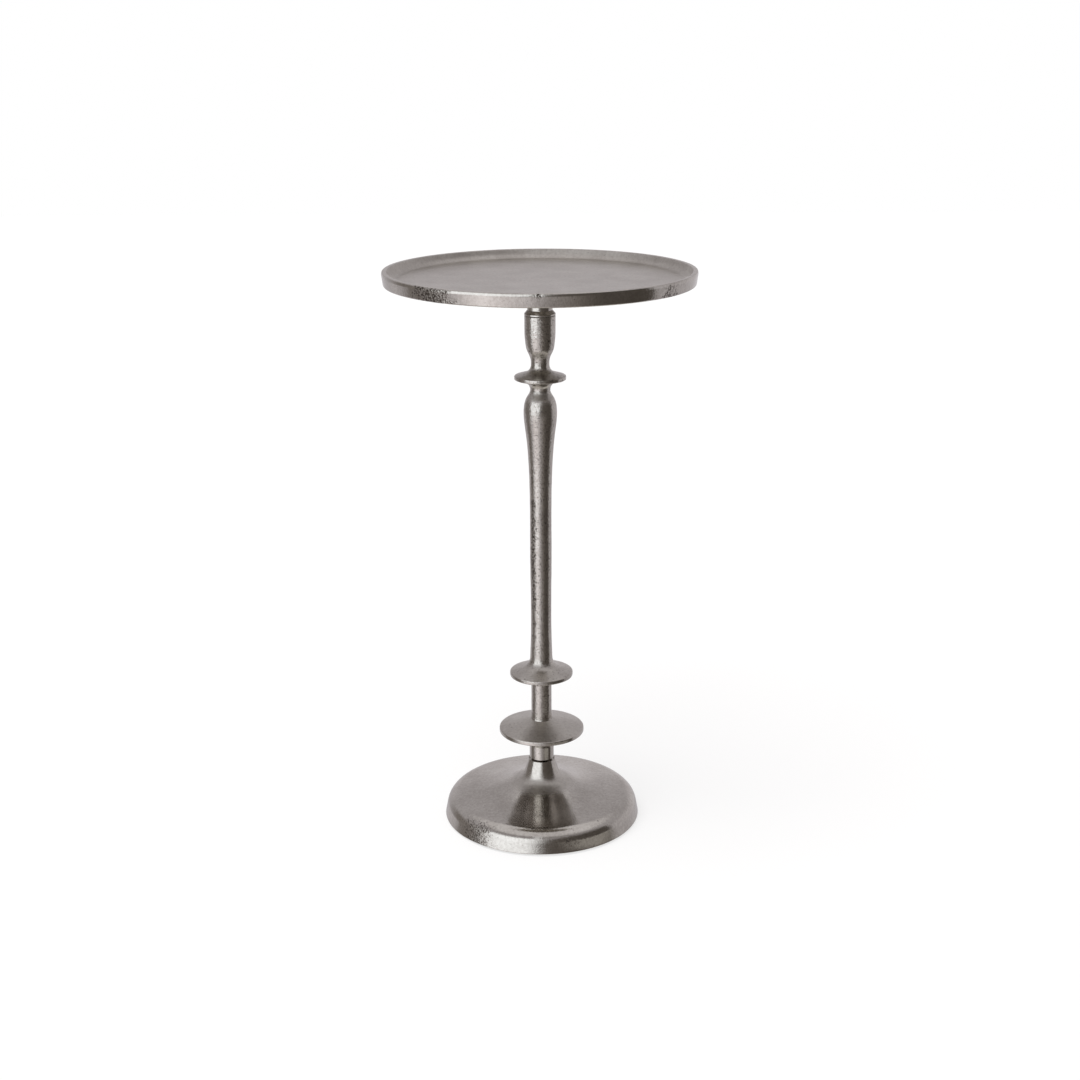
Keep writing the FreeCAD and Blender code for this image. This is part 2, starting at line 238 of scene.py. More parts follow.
# Blowholes, each in one cell of a random pattern.
pit_scale = add(lathe, "ShaderNodeMath", {0: 1.0, 1: given["Pit spacing"]}, operation="DIVIDE")
cells = add(lathe, "ShaderNodeTexVoronoi", {"Vector": seeded, "Scale": pit_scale}).outputs
chance = add(lathe, "ShaderNodeSeparateXYZ", {"Vector": cells["Color"]}).outputs
pit_reach = add(lathe, "ShaderNodeMath", {0: given["Pit size"], 1: pit_scale}, operation="MULTIPLY")
pit_reach = add(lathe, "ShaderNodeMath", {0: pit_reach, 1: chance["Y"]}, operation="MULTIPLY")
pit = add(lathe, "ShaderNodeMapRange",
          {"Value": cells["Distance"], "From Max": pit_reach, "To Min": 1.0, "To Max": 0.0},
          interpolation_type="SMOOTHSTEP")
chosen = add(lathe, "ShaderNodeMath", {0: chance["X"], 1: given["Pit share"]}, operation="LESS_THAN")
pit = add(lathe, "ShaderNodeMath", {0: pit, 1: chosen}, operation="MULTIPLY")
pit_depth = add(lathe, "ShaderNodeMath", {0: pit, 1: given["Pit depth"]}, operation="MULTIPLY")

# Duller polish. How far a face points up, out, in or down is a share of one, from where an effect starts to
# where it is full. The ring's radii are shares of the unbuffed radius.
UPPER_FACE = 0.2, 0.55
OUTER_WALL = 0.25, 0.55
INNER_WALL = -0.1, -0.5
UNDERSIDE = -0.75, -0.95
INNER_DULLING = 1.5
RING_DULLING = 0.95
RING_START, RING_FULL, RING_END = 0.58, 0.72, 1.5
upward = add(lathe, "ShaderNodeSeparateXYZ", {"Vector": facing}).outputs["Z"]
dull = add(lathe, "ShaderNodeMapRange",
           {"Value": upward, "From Min": UPPER_FACE[0], "From Max": UPPER_FACE[1],
            "To Min": given["Satin"], "To Max": given["Dulling"]})
flat_place = add(lathe, "ShaderNodeVectorMath", {0: place, 1: (1, 1, 0)}, operation="MULTIPLY")
radius = add(lathe, "ShaderNodeVectorMath", {0: flat_place}, operation="LENGTH").outputs["Value"]
ring_start, ring_full, ring_end = [
    add(lathe, "ShaderNodeMath", {0: given["Unbuffed radius"], 1: share}, operation="MULTIPLY")
    for share in (RING_START, RING_FULL, RING_END)]
ring_outside = add(lathe, "ShaderNodeMapRange",
                   {"Value": radius, "From Min": ring_end, "From Max": given["Unbuffed radius"],
                    "To Max": RING_DULLING})
ring = add(lathe, "ShaderNodeMapRange", {"Value": radius, "From Min": ring_start, "From Max": ring_full})
ring = add(lathe, "ShaderNodeMath", {0: ring_outside, 1: ring}, operation="MULTIPLY")
dull = add(lathe, "ShaderNodeMath", {0: dull, 1: ring}, operation="MAXIMUM")
out = add(lathe, "ShaderNodeVectorMath", {0: flat_place}, operation="NORMALIZE")
outward = add(lathe, "ShaderNodeVectorMath", {0: out, 1: facing}, operation="DOT_PRODUCT").outputs["Value"]
inside = add(lathe, "ShaderNodeMath", {0: given["Dulling"], 1: INNER_DULLING}, operation="MULTIPLY")
inside = add(lathe, "ShaderNodeMapRange",
             {"Value": outward, "From Min": INNER_WALL[0], "From Max": INNER_WALL[1], "To Max": inside})
dull = add(lathe, "ShaderNodeMath", {0: dull, 1: inside}, operation="MAXIMUM")

# Sandy skin, all over the underside and in ragged patches on the outer walls. A patch is full at its core and
# ends at its edge, both shares of its reach, which the raggedness shifts.
RAGGED_EDGE = 7 * MM
RAGGEDNESS = 0.4
PATCH_CORE, PATCH_EDGE = 0.35, 1.15
grain_scale = add(lathe, "ShaderNodeMath", {0: 1.0, 1: given["Skin grain"]}, operation="DIVIDE")
grain = add(lathe, "ShaderNodeTexNoise", {"Vector": seeded, "Scale": grain_scale, "Detail": 2.0})
ragged = add(lathe, "ShaderNodeTexNoise", {"Vector": seeded, "Scale": 1 / RAGGED_EDGE, "Detail": 3.0})
ragged = add(lathe, "ShaderNodeMapRange",
             {"Value": ragged, "From Min": 0.3, "From Max": 0.7, "To Min": -RAGGEDNESS, "To Max": RAGGEDNESS})
stretch = add(lathe, "ShaderNodeMath", {0: 1.0, 1: given["Patch stretch"]}, operation="DIVIDE")
stretch = add(lathe, "ShaderNodeCombineXYZ", {"X": 1.0, "Y": 1.0, "Z": stretch})
skin = add(lathe, "ShaderNodeMapRange",
           {"Value": upward, "From Min": UNDERSIDE[0], "From Max": UNDERSIDE[1],
            "To Min": given["Skin everywhere"], "To Max": 1.0})
patchy = add(lathe, "ShaderNodeMapRange",
             {"Value": outward, "From Min": OUTER_WALL[0], "From Max": OUTER_WALL[1],
              "To Max": given["Patch strength"]})
for number in (1, 2, 3):
    away = add(lathe, "ShaderNodeVectorMath", {0: place, 1: given[f"Patch {number}"]}, operation="SUBTRACT")
    away = add(lathe, "ShaderNodeVectorMath", {0: away, 1: stretch}, operation="MULTIPLY")
    away = add(lathe, "ShaderNodeVectorMath", {0: away}, operation="LENGTH").outputs["Value"]
    away = add(lathe, "ShaderNodeMath", {0: away, 1: given[f"Patch {number} reach"]}, operation="DIVIDE")
    away = add(lathe, "ShaderNodeMath", {0: away, 1: ragged}, operation="ADD")
    patch = add(lathe, "ShaderNodeMapRange",
                {"Value": away, "From Min": PATCH_EDGE, "From Max": PATCH_CORE, "To Max": patchy},
                interpolation_type="SMOOTHSTEP")
    skin = add(lathe, "ShaderNodeMath", {0: skin, 1: patch}, operation="MAXIMUM")
skin_depth = add(lathe, "ShaderNodeMath", {0: skin, 1: given["Skin depth"]}, operation="MULTIPLY")
skin_depth = add(lathe, "ShaderNodeMath", {0: skin_depth, 1: grain}, operation="MULTIPLY")

# All of it goes inwards, and the bores stay true.
BORE_EDGE = 1.0 * MM
depth = add(lathe, "ShaderNodeMath", {0: wave, 1: pit_depth}, operation="ADD")
depth = add(lathe, "ShaderNodeMath", {0: depth, 1: skin_depth}, operation="ADD")
bore_end = add(lathe, "ShaderNodeMath", {0: given["Bore"], 1: BORE_EDGE}, operation="ADD")
exposed = add(lathe, "ShaderNodeMapRange", {"Value": radius, "From Min": given["Bore"], "From Max": bore_end})
depth = add(lathe, "ShaderNodeMath", {0: depth, 1: exposed}, operation="MULTIPLY")
depth = add(lathe, "ShaderNodeMath", {0: depth, 1: -1.0}, operation="MULTIPLY")
inward = add(lathe, "ShaderNodeVectorMath", {0: facing, "Scale": depth}, operation="SCALE")
for name, value in (("cast_skin", skin), ("blowhole", pit), ("dulling", dull)):
    body = add(lathe, "GeometryNodeStoreNamedAttribute", {"Geometry": body, "Name": name, "Value": value},
               data_type="FLOAT")
body = add(lathe, "GeometryNodeSetPosition", {"Geometry": body, "Offset": inward})
body = add(lathe, "GeometryNodeSetShadeSmooth", {"Geometry": body})
body = add(lathe, "GeometryNodeRealizeInstances", {"Geometry": body})
body = add(lathe, "GeometryNodeSetMaterial", {"Geometry": body, "Material": given["Metal"]})
add(lathe, "NodeGroupOutput", {"Casting": body})


def cast(name, node, step, **sizes):
    """A casting turned from a CAD node's half section. sizes are the lathe's own inputs."""
    inputs = {label.replace("_", " "): value for label, value in sizes.items()}
    return make_piece(name, lathe_rows(half_section(node), step), lathe, lathe_inputs, inputs)


# Raw nickel over polished cast aluminium: a warm grey mirror that the wheel leaves slightly wavy and cloudy,
# with fine upright brushing, tarnish in the blowholes, and dull sandy skin where the casting was left
# unpolished. The grit and the brushing are drawn coarser than they are, so that they show.
NICKEL = "#CCC8C1"
NICKEL_CLOUD = "#B9B4AD"
PORE = "#554E47"
BLOWHOLE = "#3F3932"
CLOUD_SIZE = 28 * MM
MOTTLE_SIZE = 3 * MM
GRIT_SIZE = 1.7 * MM
GRIT_DEPTH = 0.45 * MM
POLISHED_GRIP = 0.16
POLISHED_PORES = 0.66, 0.90
SANDY_PORES = 0.40, 0.60
BRUSH_WIDTH = 0.9 * MM
BRUSH_LENGTH = 30 * MM
BRUSH_DEPTH = 0.02 * MM
POLISHED_ROUGHNESS = 0.06, 0.11
DULLED_ROUGHNESS = 0.45
SANDY_ROUGHNESS = 0.26
# A Mix node's colour sockets share their names with its number sockets, so they go by number.
COLOUR_A, COLOUR_B, COLOUR_RESULT = 6, 7, 2
polished_nickel = bpy.data.materials.new("Polished raw nickel on cast aluminium")
polished_nickel.use_nodes = True
tree = polished_nickel.node_tree
shader = tree.nodes["Principled BSDF"]
here = add(tree, "ShaderNodeTexCoord").outputs["Object"]
skin, hole, dulling = [add(tree, "ShaderNodeAttribute", attribute_name=name).outputs["Fac"]
                       for name in ("cast_skin", "blowhole", "dulling")]
cloud = add(tree, "ShaderNodeTexNoise", {"Vector": here, "Scale": 1 / CLOUD_SIZE, "Detail": 4.0})
mottle = add(tree, "ShaderNodeTexNoise", {"Vector": here, "Scale": 1 / MOTTLE_SIZE, "Detail": 3.0})
cloud = add(tree, "ShaderNodeMix", {"Factor": 0.5, "A": cloud, "B": mottle})
cloud = add(tree, "ShaderNodeMapRange", {"Value": cloud, "From Min": 0.38, "From Max": 0.62})
grit = add(tree, "ShaderNodeTexNoise", {"Vector": here, "Scale": 1 / GRIT_SIZE, "Detail": 2.0})
open_from, open_to = [add(tree, "ShaderNodeMapRange", {"Value": skin, "To Min": polished, "To Max": sandy})
                      for polished, sandy in zip(POLISHED_PORES, SANDY_PORES)]
pore = add(tree, "ShaderNodeMapRange", {"Value": grit, "From Min": open_from, "From Max": open_to})
upright = add(tree, "ShaderNodeMapping",
              {"Vector": here, "Scale": (1 / BRUSH_WIDTH, 1 / BRUSH_WIDTH, 1 / BRUSH_LENGTH)})
brushing = add(tree, "ShaderNodeTexNoise", {"Vector": upright, "Scale": 1.0, "Detail": 2.0})
colour = linear(NICKEL)
for amount, stain in ((cloud, NICKEL_CLOUD), (pore, PORE), (hole, BLOWHOLE)):
    colour = add(tree, "ShaderNodeMix", {"Factor": amount, COLOUR_A: colour, COLOUR_B: linear(stain)},
                 data_type="RGBA").outputs[COLOUR_RESULT]
gloss = add(tree, "ShaderNodeMapRange",
            {"Value": brushing, "From Min": 0.3, "From Max": 0.7,
             "To Min": POLISHED_ROUGHNESS[0], "To Max": POLISHED_ROUGHNESS[1]})
gloss = add(tree, "ShaderNodeMix", {"Factor": dulling, "A": gloss, "B": DULLED_ROUGHNESS}, clamp_factor=False)
gloss = add(tree, "ShaderNodeMix", {"Factor": skin, "A": gloss, "B": SANDY_ROUGHNESS})
grip = add(tree, "ShaderNodeMapRange", {"Value": skin, "To Min": POLISHED_GRIP, "To Max": 1.0})
bump = add(tree, "ShaderNodeBump", {"Strength": 1.0, "Distance": BRUSH_DEPTH, "Height": brushing})
bump = add(tree, "ShaderNodeBump",
           {"Strength": grip, "Distance": GRIT_DEPTH, "Height": grit, "Normal": bump})
tree.links.new(colour, shader.inputs["Base Color"])
tree.links.new(gloss.outputs[0], shader.inputs["Roughness"])
tree.links.new(bump.outputs[0], shader.inputs["Normal"])
shader.inputs["Metallic"].default_value = 1.0

base = cast("base_casting", "base", step=2.0 * MM, Segments=520, Seed=3,
            Wave_depth=0.1 * MM, Wave_length=32 * MM, Pit_share=0.03, Skin_everywhere=0.0,
            Satin=0.14, Dulling=0.14, Unbuffed_radius=29 * MM, Patch_strength=0.8,
            Patch_1=(-72 * MM, -79 * MM, 14 * MM), Patch_1_reach=27 * MM,
            Patch_2=(30 * MM, -114 * MM, 16 * MM), Patch_2_reach=18 * MM, Metal=polished_nickel)
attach(base, "root")
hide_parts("base")


# Floor pads. Four round pads of pressed wool felt, punched from sheet and stuck to the land under the base's
# rim, so that the metal doesn't mark the floor.
felt_tree, felt_inputs = start_tree("Felt pads", (
    ("Places", "Geometry", None),
    ("Radius", "Float", 6 * MM),
    ("Thickness", "Float", 2 * MM),
    ("Nap", "Float", 0.15 * MM),
    ("Tuft", "Float", 0.8 * MM),
    ("Seed", "Int", 5),
    ("Felt", "Material", None)), "Pads")
given = add(felt_tree, "NodeGroupInput").outputs
punched = add(felt_tree, "GeometryNodeMeshCylinder",
              {"Vertices": 72, "Side Segments": 6, "Fill Segments": 10, "Radius": given["Radius"],
               "Depth": given["Thickness"]})
pads = add(felt_tree, "GeometryNodeInstanceOnPoints", {"Points": given["Places"], "Instance": punched})
pads = add(felt_tree, "GeometryNodeRealizeInstances", {"Geometry": pads})
place = add(felt_tree, "GeometryNodeInputPosition")
facing = add(felt_tree, "GeometryNodeInputNormal")
shift = add(felt_tree, "ShaderNodeCombineXYZ", {"X": given["Seed"]})
seeded = add(felt_tree, "ShaderNodeVectorMath", {0: place, 1: shift}, operation="ADD")
tuft_scale = add(felt_tree, "ShaderNodeMath", {0: 1.0, 1: given["Tuft"]}, operation="DIVIDE")
tufts = add(felt_tree, "ShaderNodeTexNoise", {"Vector": seeded, "Scale": tuft_scale, "Detail": 2.0})
tufts = add(felt_tree, "ShaderNodeMath", {0: tufts, 1: given["Nap"]}, operation="MULTIPLY")
tufts = add(felt_tree, "ShaderNodeMath", {0: tufts, 1: -1.0}, operation="MULTIPLY")
inward = add(felt_tree, "ShaderNodeVectorMath", {0: facing, "Scale": tufts}, operation="SCALE")
pads = add(felt_tree, "GeometryNodeSetPosition", {"Geometry": pads, "Offset": inward})
pads = add(felt_tree, "GeometryNodeSetShadeSmooth", {"Geometry": pads})
pads = add(felt_tree, "GeometryNodeSetMaterial", {"Geometry": pads, "Material": given["Felt"]})
add(felt_tree, "NodeGroupOutput", {"Pads": pads})

# Pressed wool felt: a matt dark grey mat of crossed fibres that scatters light at its edge. The fibres are
# drawn coarser than they are, so that they show.
FELT = "#4C4A48"
FELT_FIBRE = "#77736F"
FIBRE_WIDTH = 0.5 * MM
FIBRE_DEPTH = 0.2 * MM
wool_felt = bpy.data.materials.new("Pressed wool felt")
wool_felt.use_nodes = True
tree = wool_felt.node_tree
shader = tree.nodes["Principled BSDF"]
here = add(tree, "ShaderNodeTexCoord").outputs["Object"]
fibre = add(tree, "ShaderNodeTexNoise",
            {"Vector": here, "Scale": 1 / FIBRE_WIDTH, "Detail": 4.0, "Distortion": 2.5})
strands = add(tree, "ShaderNodeMapRange", {"Value": fibre, "From Min": 0.35, "From Max": 0.7})
colour = add(tree, "ShaderNodeMix", {"Factor": strands, COLOUR_A: linear(FELT), COLOUR_B: linear(FELT_FIBRE)},
             data_type="RGBA").outputs[COLOUR_RESULT]
bump = add(tree, "ShaderNodeBump", {"Strength": 1.0, "Distance": FIBRE_DEPTH, "Height": fibre})
tree.links.new(colour, shader.inputs["Base Color"])
tree.links.new(bump.outputs[0], shader.inputs["Normal"])
shader.inputs["Roughness"].default_value = 0.95
shader.inputs["Sheen Weight"].default_value = 0.3
shader.inputs["Sheen Roughness"].default_value = 0.5

PADS = [f"floor_pad_{number}" for number in (1, 2, 3, 4)]
pad_boxes = [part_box(name) for name in PADS]
pad_low, pad_high = pad_boxes[0]
pad_places = [(low + high) / 2 for low, high in pad_boxes]
floor_pads = make_piece("floor_pads", pad_places, felt_tree, felt_inputs,
                        {"Radius": (pad_high.x - pad_low.x) / 2, "Thickness": pad_high.z - pad_low.z,
                         "Felt": wool_felt})
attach(floor_pads, "root")
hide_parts(*PADS)


# Studs. Three lengths of rolled steel rod hold the castings together: one up from under the base into the
# column, one between the column and the finial, and one from the finial through the neck into the tray.
stud_tree, stud_inputs = start_tree("Threaded stud", (
    ("Radius", "Float", 5 * MM),
    ("Bottom", "Float", 0.0),
    ("Length", "Float", 50 * MM),
    ("Pitch", "Float", 1.5 * MM),
    ("Thread depth", "Float", 0.85 * MM),
    ("Steps per turn", "Int", 40),
    ("Rows per pitch", "Int", 6),
    ("Steel", "Material", None)), "Stud")
# The thread's shares of the pitch run from a crest's middle. The first and last rows close the ends.
CREST, ROOT = 0.06, 0.42
END_ROWS = 3
given = add(stud_tree, "NodeGroupInput").outputs
rise = add(stud_tree, "ShaderNodeMath", {0: given["Pitch"], 1: given["Rows per pitch"]}, operation="DIVIDE")
rows = add(stud_tree, "ShaderNodeMath", {0: given["Length"], 1: rise}, operation="DIVIDE")
rows = add(stud_tree, "ShaderNodeMath", {0: rows}, operation="CEIL")
rows = add(stud_tree, "FunctionNodeIntegerMath", {0: rows, 1: END_ROWS}, operation="ADD")
columns = add(stud_tree, "FunctionNodeIntegerMath", {0: given["Steps per turn"], 1: 1}, operation="ADD")
sheet = add(stud_tree, "GeometryNodeMeshGrid", {"Vertices X": columns, "Vertices Y": rows})
corner_number = add(stud_tree, "GeometryNodeInputIndex")
row = add(stud_tree, "FunctionNodeIntegerMath", {0: corner_number, 1: rows}, operation="MODULO")
column = add(stud_tree, "FunctionNodeIntegerMath", {0: corner_number, 1: rows}, operation="DIVIDE_FLOOR")
turn = add(stud_tree, "ShaderNodeMath", {0: column, 1: given["Steps per turn"]}, operation="DIVIDE")
height = add(stud_tree, "ShaderNodeMath", {0: row, 1: -1.0}, operation="ADD")
height = add(stud_tree, "ShaderNodeMath", {0: height, 1: rise}, operation="MULTIPLY")
height = add(stud_tree, "ShaderNodeMath", {0: height, 1: 0.0}, operation="MAXIMUM")
height = add(stud_tree, "ShaderNodeMath", {0: height, 1: given["Length"]}, operation="MINIMUM")
wind = add(stud_tree, "ShaderNodeMath", {0: height, 1: given["Pitch"]}, operation="DIVIDE")
wind = add(stud_tree, "ShaderNodeMath", {0: wind, 1: turn}, operation="SUBTRACT")
groove = add(stud_tree, "ShaderNodeMath", {0: wind, 1: 0.5}, operation="PINGPONG")
groove = add(stud_tree, "ShaderNodeMapRange",
             {"Value": groove, "From Min": CREST, "From Max": ROOT, "To Max": given["Thread depth"]})
to_top = add(stud_tree, "ShaderNodeMath", {0: given["Length"], 1: height}, operation="SUBTRACT")
to_end = add(stud_tree, "ShaderNodeMath", {0: to_top, 1: height}, operation="MINIMUM")
chamfer = add(stud_tree, "ShaderNodeMath", {0: given["Thread depth"], 1: to_end}, operation="SUBTRACT")
groove = add(stud_tree, "ShaderNodeMath", {0: groove, 1: chamfer}, operation="MAXIMUM")
radius = add(stud_tree, "ShaderNodeMath", {0: given["Radius"], 1: groove}, operation="SUBTRACT")
last_row = add(stud_tree, "FunctionNodeIntegerMath", {0: rows, 1: -1}, operation="ADD")
inside = add(stud_tree, "ShaderNodeMath", {0: last_row, 1: row}, operation="SUBTRACT")
inside = add(stud_tree, "ShaderNodeMath", {0: inside, 1: row}, operation="MINIMUM")
inside = add(stud_tree, "ShaderNodeMath", {0: inside, 1: 1.0}, operation="MINIMUM")
radius = add(stud_tree, "ShaderNodeMath", {0: radius, 1: inside}, operation="MULTIPLY")
height = add(stud_tree, "ShaderNodeMath", {0: height, 1: given["Bottom"]}, operation="ADD")
rolled = add(stud_tree, "ShaderNodeCombineXYZ", {"X": radius, "Z": height})
turn = add(stud_tree, "ShaderNodeMath", {0: turn, 1: 2 * math.pi}, operation="MULTIPLY")
rolled = add(stud_tree, "ShaderNodeVectorRotate", {"Vector": rolled, "Angle": turn}, rotation_type="Z_AXIS")
stud = add(stud_tree, "GeometryNodeSetPosition", {"Geometry": sheet, "Position": rolled})
stud = add(stud_tree, "GeometryNodeMergeByDistance", {"Geometry": stud, "Distance": WELD})
stud = add(stud_tree, "GeometryNodeSetShadeSmooth", {"Geometry": stud})
stud = add(stud_tree, "GeometryNodeRealizeInstances", {"Geometry": stud})
stud = add(stud_tree, "GeometryNodeSetMaterial", {"Geometry": stud, "Material": given["Steel"]})
add(stud_tree, "NodeGroupOutput", {"Stud": stud})

# Bright zinc plating on drawn steel: cool, satin, faintly blue and yellow in patches, with a fine crystal
# sparkle that is drawn coarser than it is, so that it shows.
ZINC = "#B9BCC0"
ZINC_YELLOWED = "#B5AF9C"
PASSIVATION_SIZE = 6 * MM
CRYSTAL_SIZE = 0.4 * MM
CRYSTAL_DEPTH = 0.04 * MM
zinc_steel = bpy.data.materials.new("Zinc-plated steel")
zinc_steel.use_nodes = True
tree = zinc_steel.node_tree
shader = tree.nodes["Principled BSDF"]
here = add(tree, "ShaderNodeTexCoord").outputs["Object"]
passivation = add(tree, "ShaderNodeTexNoise", {"Vector": here, "Scale": 1 / PASSIVATION_SIZE, "Detail": 3.0})
passivation = add(tree, "ShaderNodeMapRange", {"Value": passivation, "From Min": 0.4, "From Max": 0.7})
crystals = add(tree, "ShaderNodeTexNoise", {"Vector": here, "Scale": 1 / CRYSTAL_SIZE, "Detail": 3.0})
colour = add(tree, "ShaderNodeMix",
             {"Factor": passivation, COLOUR_A: linear(ZINC), COLOUR_B: linear(ZINC_YELLOWED)},
             data_type="RGBA").outputs[COLOUR_RESULT]
gloss = add(tree, "ShaderNodeMapRange",
            {"Value": crystals, "From Min": 0.3, "From Max": 0.7, "To Min": 0.28, "To Max": 0.42})
bump = add(tree, "ShaderNodeBump", {"Strength": 1.0, "Distance": CRYSTAL_DEPTH, "Height": crystals})
tree.links.new(colour, shader.inputs["Base Color"])
tree.links.new(gloss.outputs[0], shader.inputs["Roughness"])
tree.links.new(bump.outputs[0], shader.inputs["Normal"])
shader.inputs["Metallic"].default_value = 1.0

M10_PITCH = 1.5 * MM
M8_PITCH = 1.25 * MM
DEPTH_PER_PITCH = 0.57
for node, pitch in (("base_stud", M10_PITCH), ("neck_stud", M8_PITCH), ("tray_stud", M10_PITCH)):
    low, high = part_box(node)
    piece = make_piece(f"threaded_{node}", [], stud_tree, stud_inputs,
                       {"Radius": high.x, "Bottom": low.z, "Length": high.z - low.z, "Pitch": pitch,
                        "Thread depth": DEPTH_PER_PITCH * pitch, "Steel": zinc_steel})
    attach(piece, "root")
    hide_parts(node)


# Washers and nut. A wide flat washer, a split spring washer and a hexagon nut, pressed and plated, draw the
# base stud up tight under the base's boss.
for node in ("base_washer", "spring_washer", "base_nut"):
    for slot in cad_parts[node].material_slots:
        slot.material = zinc_steel


# Lower disc. One casting: a shallow coned disc on a trumpet-shaped foot, turned and plated. A spigot under
# the foot sits in the base's boss, and the narrow gap round it shows as a dark seam. The column clamps the
# disc from above.
lower_disc = cast("lower_disc_casting", "lower_disc", step=1.2 * MM, Segments=360, Seed=11,
                  Wave_depth=0.06 * MM, Wave_length=25 * MM, Pit_share=0.03, Dulling=0.8, Satin=0.04,
                  Metal=polished_nickel)
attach(lower_disc, "root")
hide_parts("lower_disc")


# Stem column. One long aluminium casting, plated: a spool, the middle disc, a slim swelling shaft and a
# baluster. It was polished along its front, so a strip of sandy skin stays down its side.
column = cast("stem_column_casting", "stem_column", step=1.0 * MM, Segments=200, Seed=2, Wave_depth=0.14 * MM,
              Wave_length=12 * MM, Pit_share=0.3, Pit_size=1.3 * MM, Skin_everywhere=0.32, Dulling=0.8,
              Satin=0.25, Patch_stretch=20.0, Patch_1=(-8.6 * MM, -7.8 * MM, 300 * MM),
              Patch_1_reach=5.6 * MM, Metal=polished_nickel)
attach(column, "root")
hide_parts("stem_column")


# Stem finial. The plated aluminium casting above the notch: two necks, the upper disc with its rounded bead,
# and a tall cup that was polished less and keeps more blowholes. A stud screws it to the column.
finial = cast("stem_finial_casting", "stem_finial", step=0.6 * MM, Segments=220, Seed=4, Wave_depth=0.2 * MM,
              Wave_length=6 * MM, Pit_spacing=4 * MM, Pit_size=2 * MM, Pit_share=0.4, Skin_everywhere=0.35,
              Dulling=0.7, Satin=0.12, Metal=polished_nickel)
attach(finial, "root")
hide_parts("stem_finial")


# Tray neck. A short turned collar with a chamfered foot, of the same plated aluminium. The tray's stud clamps
# it between the cup and the tray's boss.
tray_neck = cast("tray_neck_collar", "tray_neck", step=0.8 * MM, Segments=180, Seed=5, Wave_depth=0.04 * MM,
                 Pit_share=0.1, Metal=polished_nickel)
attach(tray_neck, "root")
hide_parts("tray_neck")


# Tray. A wide shallow casting with a raised rim and a flat lip, turned inside and polished to a satin, with
# sandy patches left on the rim's outer wall and the underside as cast. A tapped boss below takes its stud.
tray = cast("tray_casting", "tray", step=1.5 * MM, Segments=700, Seed=6,
            Wave_depth=0.12 * MM, Wave_length=70 * MM, Pit_share=0.0, Skin_everywhere=0.05, Dulling=0.7,
            Patch_1=(-104 * MM, -121 * MM, 595 * MM), Patch_1_reach=34 * MM,
            Patch_2=(126 * MM, -96 * MM, 589 * MM), Patch_2_reach=17 * MM,
            Patch_3=(-2 * MM, -161 * MM, 602 * MM), Patch_3_reach=6 * MM, Metal=polished_nickel)
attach(tray, "root")
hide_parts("tray")


# Floor. A pale matt studio floor that stays white to the camera and keeps the table's soft shadow. Metal
# mirrors painted shade on it, a grey glow close by on the front right, and the studio elsewhere. From below
# it is clear.
FLOOR = "#F3F2F0"
PAINTED_FLOOR_SHADE = "#A6A29E"
FLOOR_HALF = 6.0
FLOOR_DROP = 0.1 * MM
WHITE_TO_CAMERA = 0.7
PAINTED_SHADE_REACH = 310 * MM, 250 * MM
PAINTED_SHADE_RIGHT = 50 * MM, 90 * MM
PAINTED_SHADE_FRONT = -60 * MM, -100 * MM
floor_mesh = bpy.data.meshes.new("studio_floor")
floor_corners = [(x * FLOOR_HALF, y * FLOOR_HALF, -FLOOR_DROP)
                 for x, y in ((-1, -1), (1, -1), (1, 1), (-1, 1))]
floor_mesh.from_pydata(floor_corners, [], [(0, 1, 2, 3)])
floor = bpy.data.objects.new("studio_floor", floor_mesh)
bpy.context.scene.collection.objects.link(floor)
pale_floor = bpy.data.materials.new("Pale matt floor")
pale_floor.use_nodes = True
tree = pale_floor.node_tree
tree.nodes.clear()
matt = add(tree, "ShaderNodeBsdfDiffuse", {"Color": linear(FLOOR)})
white = add(tree, "ShaderNodeEmission", {"Strength": 1.0})
ray = add(tree, "ShaderNodeLightPath").outputs
lift = add(tree, "ShaderNodeMath", {0: ray["Is Camera Ray"], 1: WHITE_TO_CAMERA}, operation="MULTIPLY")
lifted = add(tree, "ShaderNodeMixShader", {0: lift, 1: matt, 2: white})
here = add(tree, "ShaderNodeTexCoord").outputs["Object"]
sides = add(tree, "ShaderNodeSeparateXYZ", {"Vector": here}).outputs
away = add(tree, "ShaderNodeVectorMath", {0: here}, operation="LENGTH").outputs["Value"]
painted_shade_mask = 1.0
for distance, (outside, within) in ((away, PAINTED_SHADE_REACH), (sides["X"], PAINTED_SHADE_RIGHT),
                                    (sides["Y"], PAINTED_SHADE_FRONT)):
    edge = add(tree, "ShaderNodeMapRange", {"Value": distance, "From Min": outside, "From Max": within})
    painted_shade_mask = add(tree, "ShaderNodeMath", {0: painted_shade_mask, 1: edge}, operation="MULTIPLY")
# Painted shade: glossy rays see the floor glow flat grey close by on the front right, for the table's shadow
# on it.
painted_shade_glow = add(tree, "ShaderNodeEmission", {"Color": linear(PAINTED_FLOOR_SHADE)})
clear = add(tree, "ShaderNodeBsdfTransparent")
mirrored_painted_shade = add(tree, "ShaderNodeMixShader", {0: painted_shade_mask, 1: clear, 2: painted_shade_glow})
lifted = add(tree, "ShaderNodeMixShader", {0: ray["Is Glossy Ray"], 1: lifted, 2: mirrored_painted_shade})
underneath = add(tree, "ShaderNodeNewGeometry").outputs["Backfacing"]
one_sided = add(tree, "ShaderNodeMixShader", {0: underneath, 1: lifted, 2: clear})
add(tree, "ShaderNodeOutputMaterial", {"Surface": one_sided})
floor_mesh.materials.append(pale_floor)


# Studio. Dark flags stand round the front, highest on the right, with a pale wall behind and a ceiling that
# is brightest overhead. A white softbox at the front left leans out to the right, next to a narrow strip
# light. Metal mirrors all of it, and the camera sees plain white past the table.

